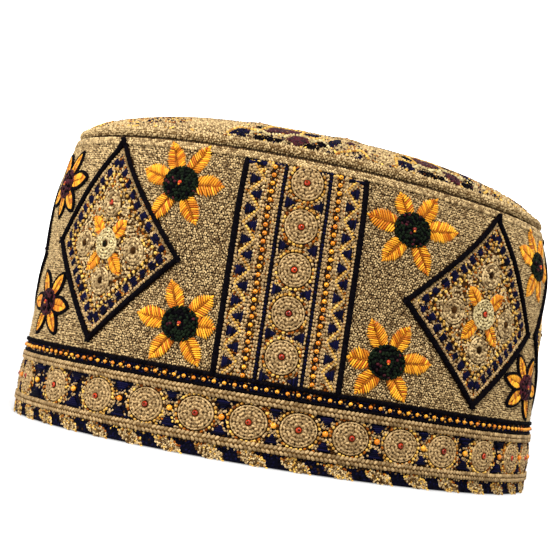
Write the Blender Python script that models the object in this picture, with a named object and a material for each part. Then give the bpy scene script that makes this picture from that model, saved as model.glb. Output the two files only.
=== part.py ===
"""A round embroidered cap: a tapered side wall, a low domed crown and the raised trims on them.

Metres, +Z up. The cap stands on its rim at z = 0, its axis is the Z axis, and its front faces -Y.
"""
import math

import bmesh
import bpy
from mathutils import Matrix, Vector

# Side wall: cloth stitched solid, narrowing a little on the way up and rounding in at the shoulder
RIM_RADIUS = 0.0934
SEAM_HEIGHT = 0.0976
WALL_THICKNESS = 0.0026
WALL_TAPER = 0.0041
SHOULDER_INSET = 0.00365
SHOULDER_START = 0.77
SHOULDER_STEPS = (SHOULDER_START, 0.85, 0.91, 0.96, 1.0)
HEM_ROUNDING = 0.0009
HEM_CORNER_CUT = 0.3 * HEM_ROUNDING
HEM_INNER_BREAK = 0.0003

# The hand-sewn seam isn't level: it rises towards -X and is highest at the front and the back
SEAM_LEAN = -0.0393
SEAM_SADDLE = 0.00137

# Crown: a low dome that drops quickly near its edge
CROWN_RISE = 0.0146
CROWN_FLATNESS = 3.25
CROWN_EDGE_FALL = 1.70
CROWN_THICKNESS = 0.0024
CROWN_OUTER_STEPS = (0.0, 0.25, 0.48, 0.66, 0.79, 0.88, 0.95, 0.985, 1.0)
CROWN_INNER_STEPS = (1.0, 0.94, 0.80, 0.55, 0.25, 0.0)

# Trims: a round cord over the seam, and flat braids with a low round back
EDGE_CORD_RADIUS = 0.0021
EDGE_CORD_INSET = 0.0017
EDGE_CORD_SIDES = 8
SEAM_BRAID_DROP = 0.0021
SEAM_BRAID_WIDTH = 0.0026
UPPER_BRAID_HEIGHT = 0.0202
LOWER_BRAID_HEIGHT = 0.0059
BRAID_WIDTH = 0.0027
BRAID_THICKNESS = 0.0013
# Braid section: share of the half width, share of the thickness
BRAID_SECTION = ((-1.0, 0.0), (-0.85, 0.7), (-0.35, 1.0), (0.35, 1.0), (0.85, 0.7), (1.0, 0.0))

# Medallions of coiled cord in a row between the two braids
MEDALLION_HEIGHT = 0.01305
MEDALLION_HALF_WIDTH = 0.0062
MEDALLION_HALF_HEIGHT = 0.0054
MEDALLION_RISE = 0.0012
MEDALLION_SIDES = 12
# Medallion section: share of the radius, share of the rise, from its back to the foot of its bead
MEDALLION_SECTION = ((1.0, 0.0), (1.0, 0.40), (0.84, 0.78), (0.16, 0.85))
# Angles from the front of the medallions that the maker spaced by eye, in degrees towards +X
FRONT_MEDALLIONS = (-69.3, -52.6, -38.5, -26.2, -15.3, -4.6, 5.3, 15.8, 26.7, 37.1, 49.6, 62.5)
REAR_MEDALLIONS = 20

# Shared by all the pieces
SEGMENTS = 72
CLEARANCE = 0.0003
MERGE_DISTANCE = 0.000001
SHARP_ANGLE = math.radians(40.0)
FULL_TURN = 2.0 * math.pi

# Colours as red, green, blue, with the cloth's roughness
CLOTH = ((0.42, 0.33, 0.19), 0.85)
CROWN_CLOTH = ((0.38, 0.28, 0.16), 0.85)
CORD = ((0.47, 0.37, 0.22), 0.75)
ROSETTE = ((0.50, 0.39, 0.22), 0.70)


def clear_scene():
    for item in list(bpy.data.objects):
        bpy.data.objects.remove(item, do_unlink=True)


def thread_material(name, colour, roughness):
    material = bpy.data.materials.new(name)
    material.use_nodes = True
    shader = material.node_tree.nodes["Principled BSDF"]
    shader.inputs["Base Color"].default_value = (*colour, 1.0)
    shader.inputs["Roughness"].default_value = roughness
    shader.inputs["Metallic"].default_value = 0.0
    return material


def shoulder_share(height):
    """How far a height is past the start of the shoulder, from 0 to 1 at the seam."""
    return max(0.0, (height / SEAM_HEIGHT - SHOULDER_START) / (1.0 - SHOULDER_START))


def wall_radius(height):
    taper = WALL_TAPER * height / SEAM_HEIGHT
    return RIM_RADIUS - taper - SHOULDER_INSET * shoulder_share(height) ** 2


def wall_slope(height):
    """Change of the wall's radius for each metre of height."""
    shoulder = 2.0 * SHOULDER_INSET * shoulder_share(height) / (1.0 - SHOULDER_START)
    return -(WALL_TAPER + shoulder) / SEAM_HEIGHT


def leaned(x, y, height):
    """The height of a point once the seam's lean and saddle are put in."""
    saddle = SEAM_SADDLE * (y * y - x * x) / wall_radius(SEAM_HEIGHT) ** 2
    lift = SEAM_LEAN * x + saddle
    return height + lift * min(1.0, height / SEAM_HEIGHT)


def finish_piece(name, mesh, material):
    mesh.materials.append(material)
    mesh.shade_smooth()
    mesh.set_sharp_from_angle(angle=SHARP_ANGLE)
    piece = bpy.data.objects.new(name, mesh)
    bpy.context.scene.collection.objects.link(piece)
    return piece


def turned_piece(name, profile, closed, material):
    """Turn a profile of radii and heights round the Z axis and lean it with the seam."""
    shape = bmesh.new()
    verts = [shape.verts.new((radius, 0.0, height)) for radius, height in profile]
    edges = [shape.edges.new(pair) for pair in zip(verts, verts[1:])]
    if closed:
        edges.append(shape.edges.new((verts[-1], verts[0])))
    bmesh.ops.spin(
        shape, geom=verts + edges, cent=(0.0, 0.0, 0.0), axis=(0.0, 0.0, 1.0),
        dvec=(0.0, 0.0, 0.0), angle=FULL_TURN, steps=SEGMENTS, use_merge=True,
    )
    bmesh.ops.remove_doubles(shape, verts=shape.verts, dist=MERGE_DISTANCE)
    for vert in shape.verts:
        vert.co.z = leaned(vert.co.x, vert.co.y, vert.co.z)
    bmesh.ops.recalc_face_normals(shape, faces=shape.faces)
    mesh = bpy.data.meshes.new(name)
    shape.to_mesh(mesh)
    shape.free()
    return finish_piece(name, mesh, material)


def make_side_wall(material):
    shoulder = [SEAM_HEIGHT * share for share in SHOULDER_STEPS]
    outside = [(wall_radius(height), height) for height in [HEM_ROUNDING] + shoulder]
    inside = [(radius - WALL_THICKNESS, height) for radius, height in reversed(outside)]
    inside[-1] = (RIM_RADIUS - WALL_THICKNESS, HEM_INNER_BREAK)
    hem = [
        (RIM_RADIUS - WALL_THICKNESS + HEM_INNER_BREAK, 0.0),
        (RIM_RADIUS - HEM_ROUNDING, 0.0),
        (RIM_RADIUS - HEM_CORNER_CUT, HEM_CORNER_CUT),
    ]
    return turned_piece("side_wall", outside + inside + hem, True, material)


def crown_height(radius):
    share = (radius / wall_radius(SEAM_HEIGHT)) ** CROWN_FLATNESS
    return SEAM_HEIGHT + CROWN_RISE * (1.0 - share) ** (1.0 / CROWN_EDGE_FALL)


def make_crown(material):
    """The crown's shell ends inside the edge cord."""
    cord_centre = wall_radius(SEAM_HEIGHT) - EDGE_CORD_INSET
    edge = cord_centre - EDGE_CORD_RADIUS - CLEARANCE
    top = [(edge * step, crown_height(edge * step)) for step in CROWN_OUTER_STEPS]
    under = [(edge * step, crown_height(edge * step) - CROWN_THICKNESS) for step in CROWN_INNER_STEPS]
    return turned_piece("crown", top + under, False, material)


def make_crown_edge_cord(material):
    centre_radius = wall_radius(SEAM_HEIGHT) - EDGE_CORD_INSET
    centre_height = SEAM_HEIGHT + CLEARANCE + EDGE_CORD_RADIUS
    profile = []
    for side in range(EDGE_CORD_SIDES):
        angle = FULL_TURN * (side + 0.5) / EDGE_CORD_SIDES
        radius = centre_radius + EDGE_CORD_RADIUS * math.cos(angle)
        profile.append((radius, centre_height + EDGE_CORD_RADIUS * math.sin(angle)))
    return turned_piece("crown_edge_cord", profile, True, material)


def make_braid(name, height, width, material):
    """A braid that lies on the wall, square to the wall's slope."""
    slope = wall_slope(height)
    length = math.hypot(1.0, slope)
    along = (slope / length, 1.0 / length)
    outward = (1.0 / length, -slope / length)
    profile = []
    for across_share, rise_share in BRAID_SECTION:
        across = across_share * width / 2.0
        rise = CLEARANCE + rise_share * BRAID_THICKNESS
        radius = wall_radius(height) + across * along[0] + rise * outward[0]
        profile.append((radius, height + across * along[1] + rise * outward[1]))
    return turned_piece(name, profile, True, material)


def medallion_mesh(material):
    """An oval boss with a bead at its centre: X along the rim, Y up, Z outward."""
    shape = bmesh.new()
    rings = []
    for radius_share, rise_share in MEDALLION_SECTION:
        ring = []
        for side in range(MEDALLION_SIDES):
            angle = FULL_TURN * side / MEDALLION_SIDES
            x = MEDALLION_HALF_WIDTH * radius_share * math.cos(angle)
            y = MEDALLION_HALF_HEIGHT * radius_share * math.sin(angle)
            ring.append(shape.verts.new((x, y, MEDALLION_RISE * rise_share)))
        rings.append(ring)
    for lower, upper in zip(rings, rings[1:]):
        for side in range(MEDALLION_SIDES):
            after = (side + 1) % MEDALLION_SIDES
            shape.faces.new((lower[side], lower[after], upper[after], upper[side]))
    shape.faces.new(list(reversed(rings[0])))
    peak = shape.verts.new((0.0, 0.0, MEDALLION_RISE))
    for side in range(MEDALLION_SIDES):
        shape.faces.new((rings[-1][side], rings[-1][(side + 1) % MEDALLION_SIDES], peak))
    mesh = bpy.data.meshes.new("rim_medallion")
    shape.to_mesh(mesh)
    shape.free()
    mesh.materials.append(material)
    mesh.shade_smooth()
    mesh.set_sharp_from_angle(angle=SHARP_ANGLE)
    return mesh


def medallion_angles():
    """The front medallions at their measured angles, and the rest evenly round the back."""
    first, last = FRONT_MEDALLIONS[0] + 360.0, FRONT_MEDALLIONS[-1]
    step = (first - last) / (REAR_MEDALLIONS + 1)
    rear = [last + step * (number + 1) for number in range(REAR_MEDALLIONS)]
    return [math.radians(angle) for angle in list(FRONT_MEDALLIONS) + rear]


def make_medallions(material):
    mesh = medallion_mesh(material)
    slope = wall_slope(MEDALLION_HEIGHT)
    for number, angle in enumerate(medallion_angles(), start=1):
        radial = Vector((math.sin(angle), -math.cos(angle), 0.0))
        along = Vector((math.cos(angle), math.sin(angle), 0.0))
        outward = Vector((radial.x, radial.y, -slope)).normalized()
        foot = radial * wall_radius(MEDALLION_HEIGHT)
        foot.z = leaned(foot.x, foot.y, MEDALLION_HEIGHT)
        frame = Matrix((along, outward.cross(along), outward)).transposed().to_4x4()
        piece = bpy.data.objects.new(f"rim_medallion_{number:02d}", mesh)
        bpy.context.scene.collection.objects.link(piece)
        piece.matrix_world = Matrix.Translation(foot + outward * CLEARANCE) @ frame


def main():
    clear_scene()
    cloth = thread_material("wall_cloth", *CLOTH)
    crown_cloth = thread_material("crown_cloth", *CROWN_CLOTH)
    cord = thread_material("beige_cord", *CORD)
    rosette = thread_material("medallion_thread", *ROSETTE)
    make_side_wall(cloth)
    make_crown(crown_cloth)
    make_crown_edge_cord(cord)
    make_braid("seam_braid", SEAM_HEIGHT - SEAM_BRAID_DROP, SEAM_BRAID_WIDTH, cord)
    make_braid("upper_braid", UPPER_BRAID_HEIGHT, BRAID_WIDTH, cord)
    make_braid("lower_braid", LOWER_BRAID_HEIGHT, BRAID_WIDTH, cord)
    make_medallions(rosette)


main()
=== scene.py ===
"""The looks of a round embroidered cap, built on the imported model's frame.

Sizes are in millimetres until a mesh or an object is made. +Z is up and the cap's front faces -Y.
A chart maps flat places (a along the rim, b upwards) to the cap's surface, and every motif is laid
out flat on a chart as knots, stitches, pads and cords.
"""
import functools
import math

import bpy
import numpy as np
from mathutils import Matrix, Vector


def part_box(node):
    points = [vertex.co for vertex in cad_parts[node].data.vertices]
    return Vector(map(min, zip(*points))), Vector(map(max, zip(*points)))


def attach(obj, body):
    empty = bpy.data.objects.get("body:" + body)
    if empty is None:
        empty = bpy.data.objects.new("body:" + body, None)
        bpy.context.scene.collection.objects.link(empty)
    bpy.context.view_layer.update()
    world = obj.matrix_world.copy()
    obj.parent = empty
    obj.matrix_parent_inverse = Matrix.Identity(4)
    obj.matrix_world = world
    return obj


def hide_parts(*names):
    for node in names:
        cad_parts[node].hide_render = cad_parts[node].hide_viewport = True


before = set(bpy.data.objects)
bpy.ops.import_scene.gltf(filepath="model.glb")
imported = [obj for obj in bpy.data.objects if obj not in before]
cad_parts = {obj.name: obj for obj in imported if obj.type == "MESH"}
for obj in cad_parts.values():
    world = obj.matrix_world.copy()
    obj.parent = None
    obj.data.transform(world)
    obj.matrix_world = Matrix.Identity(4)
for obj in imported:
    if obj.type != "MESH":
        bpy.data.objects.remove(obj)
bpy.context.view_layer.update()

MM = 0.001
FULL_TURN = 2.0 * math.pi
RNG = np.random.default_rng(11)
QUARTER_TURN = math.pi / 2.0

# The cap's form, read from the frame or named as in the model
wall_low, wall_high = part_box("side_wall")
RIM_RADIUS = (wall_high[0] - wall_low[0]) / 2.0 / MM
SEAM_HEIGHT = 97.6
WALL_THICKNESS = 2.6
WALL_TAPER = 4.1
SHOULDER_INSET = 3.65
SHOULDER_START = 0.77
SEAM_LEAN = -0.0393
SEAM_SADDLE = 1.37
CROWN_RISE = 14.6
CROWN_FLATNESS = 3.25
CROWN_EDGE_FALL = 1.70
CROWN_THICKNESS = 2.4
CROWN_EDGE = 83.2
EDGE_CORD_RADIUS = 1.7
EDGE_CORD_CENTRE = (84.3, SEAM_HEIGHT + 1.8)
EDGE_CORD_PITCH = 0.86

# The cloth: how many flats go round it, the size of its grains, and the pitch of the knots on the wall
GROUND_SEGMENTS = 160
GROUND_CELL = 0.85
GROUND_PITCH = 0.84

# Heights of the bands on the wall
HEM_ROW = 4.1
LOWER_BRAID = 5.9
MEDALLION_ROW = 13.05
UPPER_BRAID = 20.2
LOWER_LINE = 22.1
LOWER_FLECKS = 22.9
BEAD_LINE = 23.7
UPPER_FLECKS = 24.7
BAND_LINE = 25.7
BAND_TOP = 26.4
SEAM_BRAID = 95.5
BRAID_HALF_WIDTH = 1.35
BRAID_SLANT = 38.0

# Camera, found from the photograph's outline and pattern
CAMERA_PLACE = (0.0, -651.0, 45.2)
CAMERA_PITCH = 0.0252
CAMERA_YAW = 0.0084
CAMERA_ROLL = 0.1584
FOCAL_SHARE = 1763.8 / 560.0
SENSOR = 36.0

# Stage, in metres
STAGE_HALF_SIZE = 20.0
STAGE_DROP = 0.0002


def shoulder_share(height):
    return np.maximum(0.0, (height / SEAM_HEIGHT - SHOULDER_START) / (1.0 - SHOULDER_START))


def wall_radius(height):
    return RIM_RADIUS - WALL_TAPER * height / SEAM_HEIGHT - SHOULDER_INSET * shoulder_share(height) ** 2


def wall_slope(height):
    shoulder = 2.0 * SHOULDER_INSET * shoulder_share(height) / (1.0 - SHOULDER_START)
    return -(WALL_TAPER + shoulder) / SEAM_HEIGHT


SEAM_RADIUS = float(wall_radius(SEAM_HEIGHT))


def leaned(x, y, height):
    """The height of a point once the seam's lean and saddle are put in."""
    lift = SEAM_LEAN * x + SEAM_SADDLE * (y * y - x * x) / SEAM_RADIUS ** 2
    return height + lift * np.clip(height / SEAM_HEIGHT, 0.0, 1.0)


def crown_height(radius):
    share = np.clip(radius / SEAM_RADIUS, 0.0, 1.0) ** CROWN_FLATNESS
    return SEAM_HEIGHT + CROWN_RISE * (1.0 - share) ** (1.0 / CROWN_EDGE_FALL)


def in_plan(radius, angle):
    """A place seen from above, from its distance to the cap's middle and its angle from the front."""
    return radius * np.sin(angle), -radius * np.cos(angle)


class WallChart:
    """a is the distance along the wall from the front, b the height."""

    spread = 91.5

    def place(self, a, b, out):
        slope = wall_slope(b)
        length = np.hypot(1.0, slope)
        x, y = in_plan(wall_radius(b) + out / length, a / self.spread)
        return np.stack((x, y, leaned(x, y, b - out * slope / length)), axis=-1)


class OverBraidChart(WallChart):
    """The wall's chart for motifs whose tips lie over the seam braid."""

    def place(self, a, b, out):
        climb = np.clip((b - SEAM_BRAID + 2.2) / 1.4, 0.0, 1.0)
        return super().place(a, b, out + 0.75 * climb * climb * (3.0 - 2.0 * climb))


class CrownChart:
    """a and b are the place in plan, with b towards the back."""

    def place(self, a, b, out):
        radius = np.maximum(np.hypot(a, b), 0.001)
        step = 0.05
        slope = (crown_height(radius + step) - crown_height(radius - step)) / (2.0 * step)
        slope = np.maximum(slope, -2.5)
        length = np.hypot(1.0, slope)
        shift = 1.0 - out * slope / length / radius
        x, y = a * shift, b * shift
        return np.stack((x, y, leaned(a, b, crown_height(radius)) + out / length), axis=-1)


class RingChart:
    """A round cord's surface: a along the ring, b round the cord from its outer side upwards."""

    def __init__(self, ring_radius, height, cord_radius):
        self.ring_radius, self.height, self.cord_radius = ring_radius, height, cord_radius

    def place(self, a, b, out):
        turn, radius = b / self.cord_radius, self.cord_radius + out
        x, y = in_plan(self.ring_radius + radius * np.cos(turn), a / self.ring_radius)
        return np.stack((x, y, leaned(x, y, self.height + radius * np.sin(turn))), axis=-1)


class TurnedChart:
    """Another chart seen from a place on it, turned by an angle and drawn wider or taller."""

    def __init__(self, base, a, b, turn=0.0, wide=1.0, tall=1.0):
        self.base, self.a, self.b, self.wide, self.tall = base, a, b, wide, tall
        self.cos, self.sin = math.cos(turn), math.sin(turn)

    def place(self, a, b, out):
        along, rising = a * self.cos - b * self.sin, a * self.sin + b * self.cos
        return self.base.place(self.a + along * self.wide, self.b + rising * self.tall, out)


class DiamondChart:
    """A regular diamond pulled to four corners on another chart."""

    def __init__(self, base, top, right, bottom, left, half):
        self.base, self.half = base, half
        self.centre = np.array(((right[0] + left[0]) / 2.0, (top[1] + bottom[1]) / 2.0))
        self.arms = [(np.array(corner) - self.centre) / half for corner in (right, left, top, bottom)]

    def place(self, a, b, out):
        right, left, top, bottom = self.arms
        a, b = np.broadcast_arrays(a, b)
        side = np.where(a[..., None] >= 0.0, right, -left) * a[..., None]
        rise = np.where(b[..., None] >= 0.0, top, -bottom) * b[..., None]
        spot = self.centre + side + rise
        return self.base.place(spot[..., 0], spot[..., 1], out)


def unit(vectors):
    return vectors / np.linalg.norm(vectors, axis=-1, keepdims=True)


def axes_at(chart, a, b):
    """The directions of a, of b and outward at places on a chart."""
    step = 0.04
    along = unit(chart.place(a + step, b, 0.0 * a) - chart.place(a - step, b, 0.0 * a))
    rising = chart.place(a, b + step, 0.0 * a) - chart.place(a, b - step, 0.0 * a)
    outward = unit(np.cross(along, rising))
    return along, np.cross(outward, along), outward


def spindle_form(sides, rings):
    """A closed rounded body with its poles at both ends of X."""
    verts = [(1.0, 0.0, 0.0)]
    for ring in range(1, rings + 1):
        polar = math.pi * ring / (rings + 1)
        reach = math.sin(polar)
        for side in range(sides):
            turn = FULL_TURN * (side + 0.5 * (ring % 2)) / sides
            verts.append((math.cos(polar), reach * math.cos(turn), reach * math.sin(turn)))
    verts.append((-1.0, 0.0, 0.0))
    last = len(verts) - 1
    faces = []
    for side in range(sides):
        after = (side + 1) % sides
        faces.append((0, 1 + side, 1 + after))
        for ring in range(rings - 1):
            low, high = 1 + ring * sides, 1 + (ring + 1) * sides
            if ring % 2 == 0:
                faces += [(low + side, high + side, low + after), (low + after, high + side, high + after)]
            else:
                faces += [(low + side, high + side, high + after), (low + side, high + after, low + after)]
        start = 1 + (rings - 1) * sides
        faces.append((start + side, last, start + after))
    return np.array(verts), np.array(faces)


def facing_out(verts, faces):
    """Faces turned so that they look away from a point under the form's middle."""
    verts = np.array(verts, dtype=float)
    turned = []
    for face in faces:
        corner = verts[list(face)]
        normal = np.cross(corner[1] - corner[0], corner[2] - corner[0])
        outside = corner.mean(axis=0) - np.array((0.0, 0.0, -0.5))
        turned.append(face if normal @ outside > 0.0 else (face[0], face[2], face[1]))
    return verts, np.array(turned)


def speck_form(sides):
    """A low grain whose foot sinks into the cloth."""
    turns = [FULL_TURN * side / sides for side in range(sides)]
    verts = [(0.0, 0.0, 1.0)] + [(math.cos(turn), math.sin(turn), -0.30) for turn in turns]
    return facing_out(verts, [(0, 1 + side, 1 + (side + 1) % sides) for side in range(sides)])


def loaf_form():
    """A rounded stitch whose foot sinks into the cloth."""
    verts = [(1.0, 0.0, -0.30), (-1.0, 0.0, -0.30)]
    for station in (0.52, -0.52):
        for turn in (0.0, math.pi / 3.0, 2.0 * math.pi / 3.0, math.pi):
            verts.append((station, math.cos(turn), math.sin(turn) * 1.3 - 0.30))
    faces = []
    for side in range(3):
        near, far = 2 + side, 6 + side
        faces += [(0, near, near + 1), (1, far, far + 1), (near, far, near + 1), (near + 1, far, far + 1)]
    return facing_out(verts, faces)


SPECK = speck_form(5)
GRAIN = speck_form(4)
KNOT = loaf_form()
BEAD = spindle_form(7, 3)

# Threads and beads: darkest and lightest colour in 8-bit sRGB, roughness, and a thread's specular level
THREADS = {
    "khaki": ((104, 78, 44), (214, 184, 130), 0.82, 0.22),
    "sand": ((132, 105, 66), (192, 160, 110), 0.78, 0.20),
    "plait": ((108, 84, 50), (178, 148, 102), 0.80, 0.20),
    "cream": ((150, 130, 84), (216, 196, 142), 0.75, 0.25),
    "bark": ((60, 38, 14), (108, 80, 42), 0.90, 0.05),
    "umber": ((26, 14, 4), (70, 42, 14), 0.90, 0.05),
    "navy": ((3, 3, 12), (13, 12, 43), 0.85, 0.05),
    "black": ((3, 2, 4), (12, 9, 13), 0.90, 0.02),
    "gold": ((150, 98, 20), (228, 184, 84), 0.60, 0.30),
    "amber": ((178, 86, 2), (250, 184, 42), 0.60, 0.20),
    "rust": ((98, 44, 4), (162, 90, 18), 0.80, 0.10),
    "pine": ((5, 9, 4), (21, 32, 16), 0.78, 0.06),
    "wine": ((26, 4, 10), (74, 18, 28), 0.70, 0.12),
    "lining": ((92, 74, 50), (128, 106, 76), 0.90, 0.10),
}
BEADS = {
    "amber_bead": ((210, 114, 12), (240, 164, 42), 0.26),
    "red_bead": ((118, 16, 0), (192, 52, 0), 0.36),
}


def linear(colour):
    def channel(value):
        share = value / 255.0
        return share / 12.92 if share <= 0.04045 else ((share + 0.055) / 1.055) ** 2.4

    return tuple(channel(value) for value in colour) + (1.0,)


class Look:
    """A new material. In the calls an underscore stands for a space in the name of a node's socket."""

    def __init__(self, name, roughness, specular, **values):
        self.material = bpy.data.materials.new(name)
        self.material.use_nodes = True
        self.tree = self.material.node_tree
        self.shader = self.tree.nodes["Principled BSDF"]
        self.fill(self.shader, Roughness=roughness, Specular_IOR_Level=specular, **values)

    def fill(self, node, **values):
        """Set a node's own settings and its sockets' values, or link a socket to another node's output."""
        for key, value in values.items():
            if hasattr(node, key):
                setattr(node, key, value)
                continue
            socket = node.inputs[key.replace("_", " ")]
            if isinstance(value, bpy.types.NodeSocket):
                self.tree.links.new(value, socket)
            else:
                socket.default_value = value
        return node

    def add(self, kind, **values):
        return self.fill(self.tree.nodes.new(f"ShaderNode{kind}"), **values)

    def place(self):
        return self.add("TexCoord").outputs["Object"]

    def bump(self, height, strength, distance, **values):
        bump = self.add("Bump", Strength=strength, Distance=distance * MM, Height=height, **values)
        self.fill(self.shader, Normal=bump.outputs["Normal"])

    def tinted_colour(self, dark, light, speckle_scale, speckle):
        """Each knot's own tint between two colours, with a fine mottle over it."""
        tint = self.add("Attribute", attribute_name="tint")
        blend = self.add("Mix", data_type="RGBA", A=linear(dark), B=linear(light), Factor=tint.outputs["Fac"])
        noise = self.add("TexNoise", Scale=speckle_scale, Detail=2.0, Vector=self.place())
        spread = self.add("MapRange", From_Min=0.3, From_Max=0.7, To_Min=1.0 - speckle, To_Max=1.0 + speckle,
                          Value=noise.outputs["Fac"])
        scale = self.add("VectorMath", operation="SCALE", Vector=blend.outputs["Result"],
                         Scale=spread.outputs["Result"])
        self.fill(self.shader, Base_Color=scale.outputs["Vector"])
        return noise


def thread_material(name):
    dark, light, roughness, specular = THREADS[name]
    look = Look(f"{name}_thread", roughness, specular)
    noise = look.tinted_colour(dark, light, speckle_scale=2600.0, speckle=0.30)
    look.bump(noise.outputs["Fac"], 0.5, 0.1)
    return look.material


def bead_material(name):
    dark, light, roughness = BEADS[name]
    look = Look(name, roughness, 0.3, Coat_Weight=0.12, Coat_Roughness=0.1)
    look.tinted_colour(dark, light, speckle_scale=900.0, speckle=0.12)
    return look.material


def ground_material():
    """Densely knotted cloth: round grains of thread with dark gaps between them. The colour is painted shade:
    it darkens from each grain's middle to near black in the gaps.
    """
    look = Look("wall_ground", 0.85, 0.1)
    cells = look.add("TexVoronoi", Scale=1.0 / (GROUND_CELL * MM), Vector=look.place())
    ramp = look.add("ValToRGB", Fac=cells.outputs["Distance"])
    grain, gap = ramp.color_ramp.elements
    # Painted shade: each cell's colour darkens from its middle to near black at its edge, where shade falls
    # between the grains.
    grain.position, grain.color = 0.12, linear((92, 66, 34))
    gap.position, gap.color = 0.62, linear((28, 14, 3))
    look.fill(look.shader, Base_Color=ramp.outputs["Color"])
    look.bump(cells.outputs["Distance"], 0.8, 0.4, invert=True)
    return look.material


def lining_material():
    """Plain woven cotton for the inside."""
    dark, light, roughness, specular = THREADS["lining"]
    look = Look("lining_cloth", roughness, specular)
    weave = look.add("TexChecker", Scale=2200.0, Color1=linear(dark), Color2=linear(light),
                     Vector=look.place())
    look.fill(look.shader, Base_Color=weave.outputs["Color"])
    look.bump(weave.outputs["Fac"], 0.3, 0.15)
    return look.material


@functools.cache
def material_for(name):
    if name == "wall_ground":
        return ground_material()
    if name == "lining":
        return lining_material()
    return bead_material(name) if name in BEADS else thread_material(name)


def dome(share):
    """A low dome's height, as a share of its middle's, at a share of its radius."""
    return np.sqrt(np.maximum(0.0, 1.0 - share ** 2.5))


def even_turns(count):
    return FULL_TURN * np.arange(count) / count


def oval(a, b, half_a, half_b, turn):
    """Places on an oval round a place."""
    return a + half_a * np.cos(turn), b + half_b * np.sin(turn)


def resample(a, b, step, closed=False):
    """Points at even steps along a path of straight runs."""
    a, b = np.broadcast_arrays(a, b)
    if closed:
        a, b = np.append(a, a[0]), np.append(b, b[0])
    travelled = np.concatenate(((0.0,), np.cumsum(np.hypot(np.diff(a), np.diff(b)))))
    steps = max(2, int(round(travelled[-1] / step)))
    spots = np.linspace(0.0, travelled[-1], steps + 1)
    if closed:
        spots = spots[:-1]
    return np.interp(spots, travelled, a), np.interp(spots, travelled, b)


def scatter(low_a, high_a, low_b, high_b, pitch, wander=0.25):
    """A staggered grid of places, each moved a little."""
    rows = np.arange(low_b + pitch / 2.0, high_b, pitch * 0.88)
    columns = np.arange(low_a + pitch / 2.0, high_a, pitch)
    a, b = np.meshgrid(columns, rows)
    a = a + (np.arange(len(rows)) % 2)[:, None] * pitch / 2.0
    a = a + RNG.uniform(-wander, wander, a.shape) * pitch
    b = b + RNG.uniform(-wander, wander, b.shape) * pitch
    return a.ravel(), b.ravel()


def picked(count, mix):
    """Share out places at random among looks: each look of a mix and where it goes."""
    draw, low = RNG.random(count), 0.0
    for look, share in mix:
        yield look, (draw >= low) & (draw < low + share)
        low += share


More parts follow.
